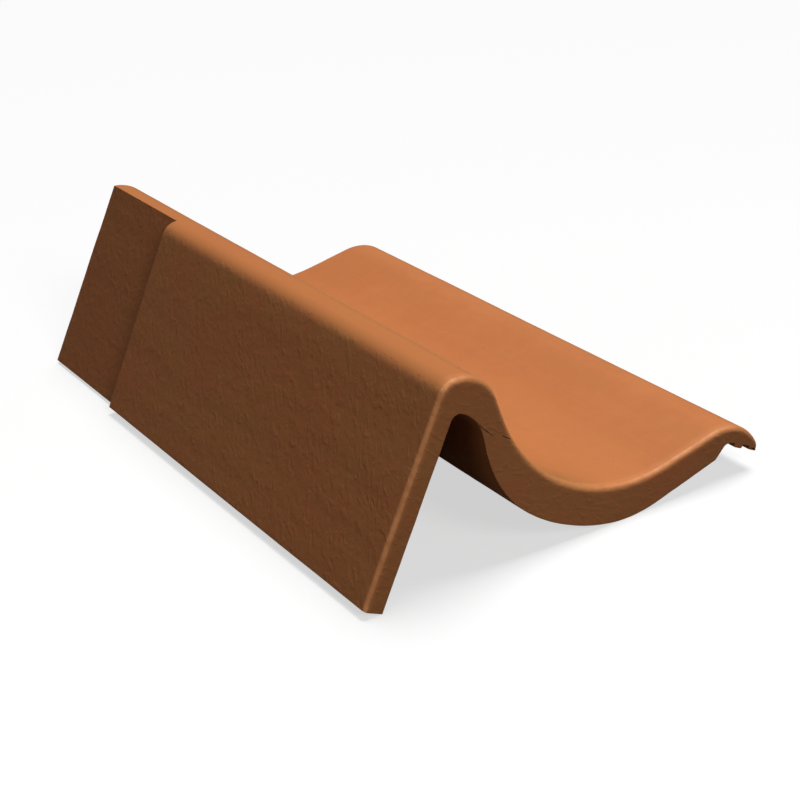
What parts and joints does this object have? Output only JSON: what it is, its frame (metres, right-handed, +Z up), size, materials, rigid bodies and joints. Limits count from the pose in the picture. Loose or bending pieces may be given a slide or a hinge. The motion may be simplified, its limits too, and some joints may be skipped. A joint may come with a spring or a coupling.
{
  "type": "verge tile",
  "caption": "Left-hand terracotta verge tile: an S-shaped single-roll pantile with a deep flat apron along its crest, a half-lap tongue at the head and a rebated side lock.",
  "frame": {"origin": "middle of the tile's footprint, at floor level", "axes": "+Y along the tile from its foot end to its head end, +X from the apron towards the side-lock roll, +Z up with the tile resting on the apron's inner bottom edge and the pan's underside"},
  "size_m": [0.2764, 0.3836, 0.1168],
  "materials": {
    "terracotta": "matt fired clay with a fine sandy face"
  },
  "bodies": {
    "root": {"verge_tile": "terracotta"}
  },
  "joints": []
}
